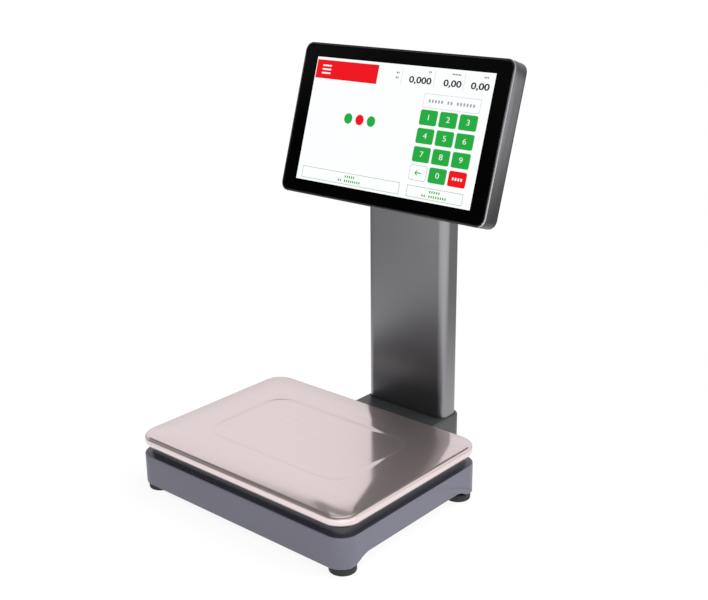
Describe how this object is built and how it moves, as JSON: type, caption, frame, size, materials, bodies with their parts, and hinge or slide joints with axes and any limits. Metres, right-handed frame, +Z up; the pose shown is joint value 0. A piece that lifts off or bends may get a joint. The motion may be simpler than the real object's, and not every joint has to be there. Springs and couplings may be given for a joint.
{
  "type": "retail price scale",
  "caption": "Counter price scale with a pressed steel platter on a grey base, a flat column behind it and a tilting touch terminal on top.",
  "frame": {"origin": "centre of the footprint on the standing surface", "axes": "+Z up, -Y towards the operator, +X to the operator's right"},
  "size_m": [0.32, 0.3358, 0.4897],
  "materials": {
    "paint": "satin grey paint",
    "stainless": "polished, lightly brushed",
    "dark_plastic": "fine satin",
    "anodised": "dark anodised, satin",
    "frame_alloy": "brushed",
    "zinc": "zinc plated",
    "rubber": "matt",
    "glass": "gloss black printed border",
    "display": "lit display",
    "board": "solder mask",
    "alloy": "machined",
    "vial": "clear green"
  },
  "bodies": {
    "base": {"adc_board": "board", "base_housing": "paint", "cell_screw_fixed_1": "zinc", "cell_screw_fixed_2": "zinc", "cell_screw_live_1": "zinc", "cell_screw_live_2": "zinc", "cell_spacer_fixed": "alloy", "cell_spacer_live": "alloy", "chassis_plate": "zinc", "chassis_screw_1": "zinc", "chassis_screw_2": "zinc", "column": "anodised", "column_head": "anodised", "column_pedestal": "dark_plastic", "column_screw_1": "zinc", "column_screw_2": "zinc", "head_screw_1": "zinc", "head_screw_2": "zinc", "hinge_nut_1": "zinc", "hinge_nut_2": "zinc", "hinge_pin": "zinc", "hinge_washer_1": "dark_plastic", "hinge_washer_2": "dark_plastic", "level_housing": "dark_plastic", "level_vial": "vial", "load_cell": "alloy", "mast_bracket": "zinc", "mast_screw_1": "zinc", "mast_screw_2": "zinc", "platter_bumper_1": "rubber", "platter_bumper_2": "rubber", "platter_bumper_3": "rubber", "platter_bumper_4": "rubber", "platter_spider": "anodised"},
    "terminal": {"bracket_screw_1": "zinc", "bracket_screw_2": "zinc", "bracket_screw_3": "zinc", "bracket_screw_4": "zinc", "cover_screw_1": "zinc", "cover_screw_2": "zinc", "cover_screw_3": "zinc", "cover_screw_4": "zinc", "lcd_panel": "display", "main_board": "board", "port_block": "dark_plastic", "rear_cover": "dark_plastic", "terminal_bracket": "anodised", "terminal_frame": "frame_alloy", "touch_glass": "glass", "vesa_stiffener": "zinc"},
    "platter": {"platter": "stainless"},
    "power_button": {"power_button": "dark_plastic"},
    "foot_pad_1": {"foot_pad_1": "rubber"},
    "foot_screw_1": {"foot_screw_1": "zinc"},
    "foot_pad_2": {"foot_pad_2": "rubber"},
    "foot_screw_2": {"foot_screw_2": "zinc"},
    "foot_pad_3": {"foot_pad_3": "rubber"},
    "foot_screw_3": {"foot_screw_3": "zinc"},
    "foot_pad_4": {"foot_pad_4": "rubber"},
    "foot_screw_4": {"foot_screw_4": "zinc"}
  },
  "joints": [
    {"name": "terminal_tilt", "type": "hinge", "parent": "base", "child": "terminal", "pos_m": [0, 0.14785, 0.388], "axis": [-1, 0, 0], "range_deg": [-17, 25]},
    {"name": "platter_lift", "type": "slide", "parent": "base", "child": "platter", "axis": [0, 0, 1], "range_m": [0, 0.06]},
    {"name": "power_press", "type": "slide", "parent": "terminal", "child": "power_button", "axis": [0, -0.9542, 0.299], "range_m": [0, 0.001], "stiffness_N_per_m": 400, "springref_m": -0.0005},
    {"name": "foot_1_height", "type": "slide", "parent": "base", "child": "foot_pad_1", "axis": [0, 0, -1], "range_m": [0, 0.005]},
    {"name": "foot_1_turn", "type": "hinge", "parent": "foot_pad_1", "child": "foot_screw_1", "pos_m": [0.142, -0.14935, 0.01], "axis": [0, 0, -1], "range_deg": [0, 1442]},
    {"name": "foot_2_height", "type": "slide", "parent": "base", "child": "foot_pad_2", "axis": [0, 0, -1], "range_m": [0, 0.005]},
    {"name": "foot_2_turn", "type": "hinge", "parent": "foot_pad_2", "child": "foot_screw_2", "pos_m": [0.142, 0.05065, 0.01], "axis": [0, 0, -1], "range_deg": [0, 1442]},
    {"name": "foot_3_height", "type": "slide", "parent": "base", "child": "foot_pad_3", "axis": [0, 0, -1], "range_m": [0, 0.005]},
    {"name": "foot_3_turn", "type": "hinge", "parent": "foot_pad_3", "child": "foot_screw_3", "pos_m": [-0.142, 0.05065, 0.01], "axis": [0, 0, -1], "range_deg": [0, 1442]},
    {"name": "foot_4_height", "type": "slide", "parent": "base", "child": "foot_pad_4", "axis": [0, 0, -1], "range_m": [0, 0.005]},
    {"name": "foot_4_turn", "type": "hinge", "parent": "foot_pad_4", "child": "foot_screw_4", "pos_m": [-0.142, -0.14935, 0.01], "axis": [0, 0, -1], "range_deg": [0, 1442]}
  ],
  "couplings": [
    {"joint": "foot_1_turn", "follows": "foot_1_height", "rad_per_m": 5026.5},
    {"joint": "foot_2_turn", "follows": "foot_2_height", "rad_per_m": 5026.5},
    {"joint": "foot_3_turn", "follows": "foot_3_height", "rad_per_m": 5026.5},
    {"joint": "foot_4_turn", "follows": "foot_4_height", "rad_per_m": 5026.5}
  ]
}
